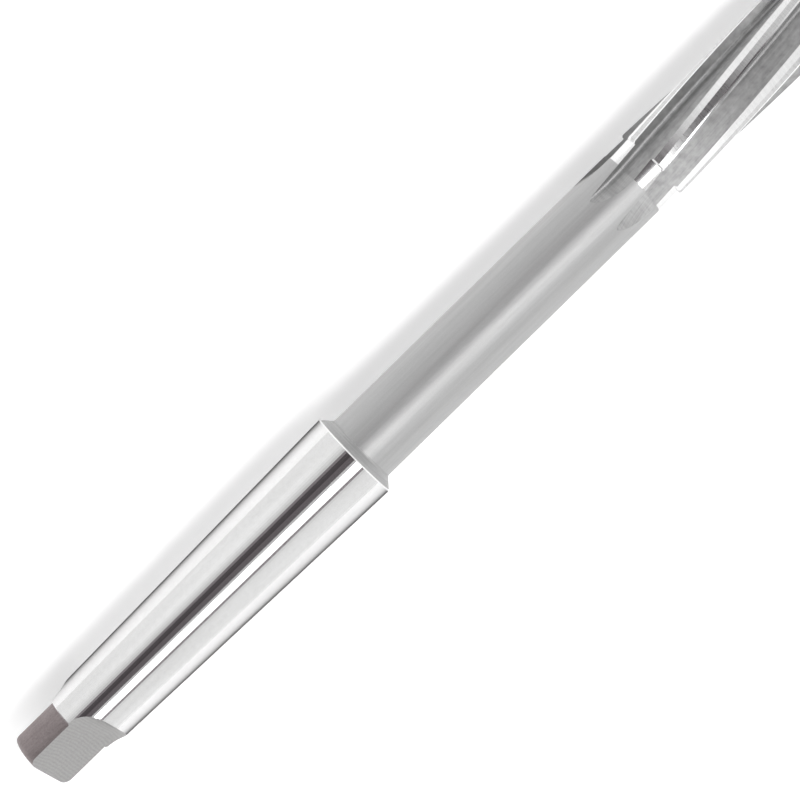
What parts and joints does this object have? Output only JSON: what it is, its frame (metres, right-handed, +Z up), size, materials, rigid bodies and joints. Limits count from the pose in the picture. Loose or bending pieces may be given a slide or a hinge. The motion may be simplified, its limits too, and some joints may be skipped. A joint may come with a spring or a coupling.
{
  "type": "machine reamer",
  "caption": "Straight steel reamer with left-hand helical flutes, a plain neck, and a Morse taper shank ending in a flat tang.",
  "frame": {"origin": "on the tool's axis, at the gauge plane of the taper, 5 mm behind the shank's rim", "axes": "+X along the axis towards the cutting end, -X towards the tang, +Z up as the tool lies on its side"},
  "size_m": [0.204, 0.018, 0.018],
  "materials": {
    "tool_steel": "high-speed steel: ground and polished shank, satin neck, ground lands, milled flutes and tang"
  },
  "bodies": {
    "root": {"machine_reamer": "tool_steel"}
  },
  "joints": []
}
